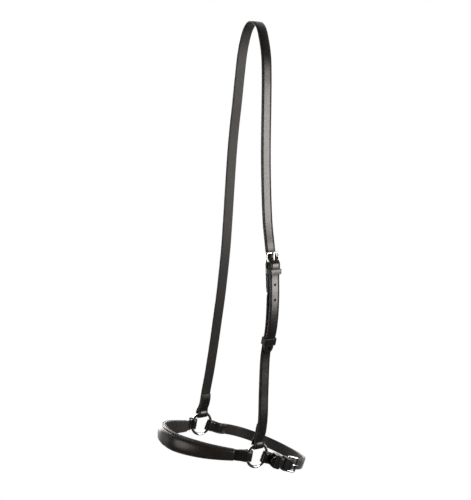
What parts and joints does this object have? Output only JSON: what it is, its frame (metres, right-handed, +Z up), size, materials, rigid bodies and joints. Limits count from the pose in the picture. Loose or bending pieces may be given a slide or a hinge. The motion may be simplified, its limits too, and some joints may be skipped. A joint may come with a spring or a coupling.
{
  "type": "drop noseband",
  "caption": "Leather drop noseband: headpiece over the poll with a cheek buckle, rings at both sides, padded nosepiece and buckled chin strap.",
  "frame": {"origin": "middle of the inner face of the headpiece where it crosses the poll", "axes": "+X to the near (left) side that carries the buckles, -Y to the front of the nose, +Z up"},
  "size_m": [0.1561, 0.2011, 0.5955],
  "materials": {
    "leather": "black bridle leather, satin",
    "lining": "soft lining leather, matt",
    "felt": "felt padding",
    "nickel": "bright nickel plate",
    "thread": "waxed thread"
  },
  "bodies": {
    "headpiece": {"headpiece_strap": "leather", "near_cheekpiece": "leather", "cheek_buckle_frame": "nickel", "cheek_fixed_keeper": "leather", "off_cheek_stitching": "thread", "near_cheek_stitching": "thread", "cheek_chape_stitching": "thread"},
    "cheek_tongue": {"cheek_buckle_tongue": "nickel"},
    "cheek_keeper": {"cheek_running_keeper": "leather"},
    "near_side_ring": {"near_ring": "nickel"},
    "off_side_ring": {"off_ring": "nickel"},
    "nosepiece": {"nosepiece_backing": "leather", "nosepiece_cover": "leather", "nosepiece_padding": "felt", "nosepiece_lining": "lining"},
    "chin_strap": {"chin_long_strap": "leather", "chin_short_strap": "leather", "chin_buckle_frame": "nickel", "chin_fixed_keeper": "leather", "chin_off_stitching": "thread"},
    "chin_tongue": {"chin_buckle_tongue": "nickel"},
    "chin_keeper": {"chin_running_keeper": "leather"}
  },
  "joints": [
    {"name": "near_ring_turn", "type": "hinge", "parent": "headpiece", "child": "near_side_ring", "pos_m": [0.0653, -0.0415, -0.5395], "axis": [1, 0, 0], "continuous": true},
    {"name": "off_ring_turn", "type": "hinge", "parent": "headpiece", "child": "off_side_ring", "pos_m": [-0.0653, -0.0415, -0.5395], "axis": [1, 0, 0], "continuous": true},
    {"name": "nosepiece_swing", "type": "hinge", "parent": "headpiece", "child": "nosepiece", "pos_m": [0, -0.0415, -0.5395], "axis": [1, 0, 0], "range_deg": [-1, 40]},
    {"name": "chin_strap_swing", "type": "hinge", "parent": "headpiece", "child": "chin_strap", "pos_m": [0, -0.0415, -0.5395], "axis": [1, 0, 0], "range_deg": [-40, 25]},
    {"name": "cheek_tongue_swing", "type": "hinge", "parent": "headpiece", "child": "cheek_tongue", "pos_m": [0.0685, -0.02239, -0.29111], "axis": [0, 0.9971, -0.0767], "range_deg": [0, 5]},
    {"name": "chin_tongue_swing", "type": "hinge", "parent": "chin_strap", "child": "chin_tongue", "pos_m": [0.07314, 0.00125, -0.55854], "axis": [0, -0.4067, -0.9135], "range_deg": [0, 5]},
    {"name": "cheek_keeper_slide", "type": "slide", "parent": "headpiece", "child": "cheek_keeper", "axis": [0.1798, 0.0755, 0.9808], "range_m": [-0.006, 0.012]},
    {"name": "chin_keeper_slide", "type": "slide", "parent": "chin_strap", "child": "chin_keeper", "axis": [0.3528, 0.8548, -0.3806], "range_m": [-0.004, 0.003]}
  ]
}
